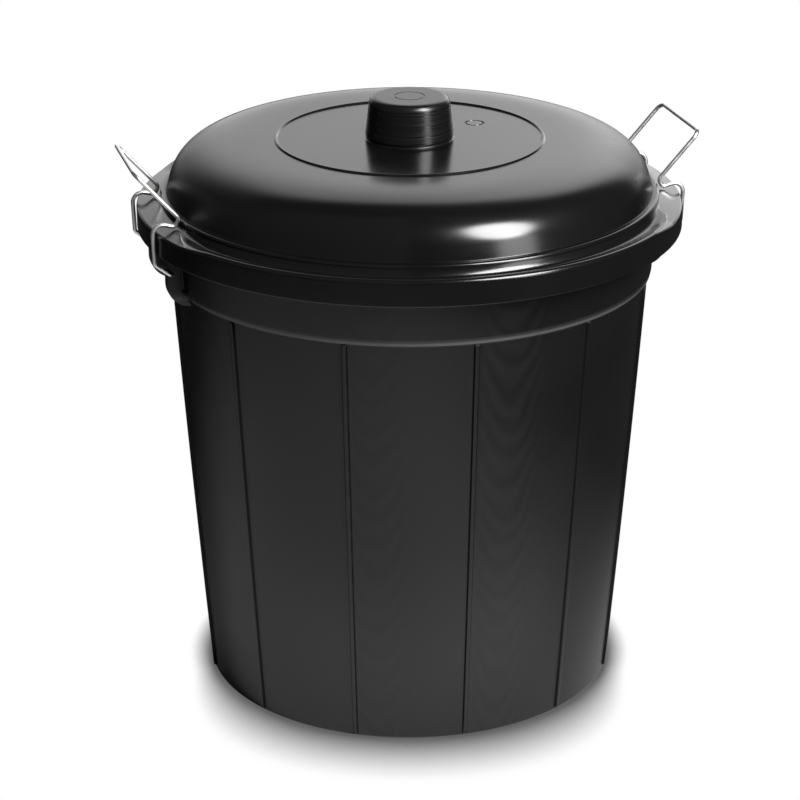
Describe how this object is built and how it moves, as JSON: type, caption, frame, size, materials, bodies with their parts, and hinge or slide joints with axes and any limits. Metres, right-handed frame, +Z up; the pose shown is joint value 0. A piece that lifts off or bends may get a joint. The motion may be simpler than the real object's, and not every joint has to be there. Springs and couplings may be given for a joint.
{
  "type": "trash can",
  "caption": "Round tapered plastic trash can with ribs, a collar and a domed lift-off lid with a moulded knob, held down by bent wire clips that double as handles.",
  "frame": {"origin": "on the bin's axis, at the surface that it stands on", "axes": "+Z up along the bin's axis, towards the knob; X through the two clip handles; Y across them"},
  "size_m": [0.4858, 0.46, 0.5095],
  "materials": {
    "tub_plastic": "black satin polypropylene",
    "lid_plastic": "black glossy polypropylene",
    "zinc_wire": "bright zinc-plated steel wire"
  },
  "bodies": {
    "bin": {"bin_body": "tub_plastic"},
    "lid": {"lid": "lid_plastic"},
    "left_clip": {"left_clip": "zinc_wire"},
    "right_clip": {"right_clip": "zinc_wire"}
  },
  "joints": [
    {"name": "lid_lift", "type": "slide", "parent": "bin", "child": "lid", "axis": [0, 0, 1], "range_m": [0, 0.5]},
    {"name": "left_clip_swing", "type": "hinge", "parent": "bin", "child": "left_clip", "pos_m": [-0.2135, 0, 0.3855], "axis": [0, -1, 0], "range_deg": [0, 160]},
    {"name": "right_clip_swing", "type": "hinge", "parent": "bin", "child": "right_clip", "pos_m": [0.2135, 0, 0.3855], "axis": [0, 1, 0], "range_deg": [0, 160]}
  ],
  "couplings": [
    {"joint": "left_clip_swing", "follows": "lid_lift", "rad_per_m": 5.585},
    {"joint": "right_clip_swing", "follows": "lid_lift", "rad_per_m": 5.585}
  ]
}
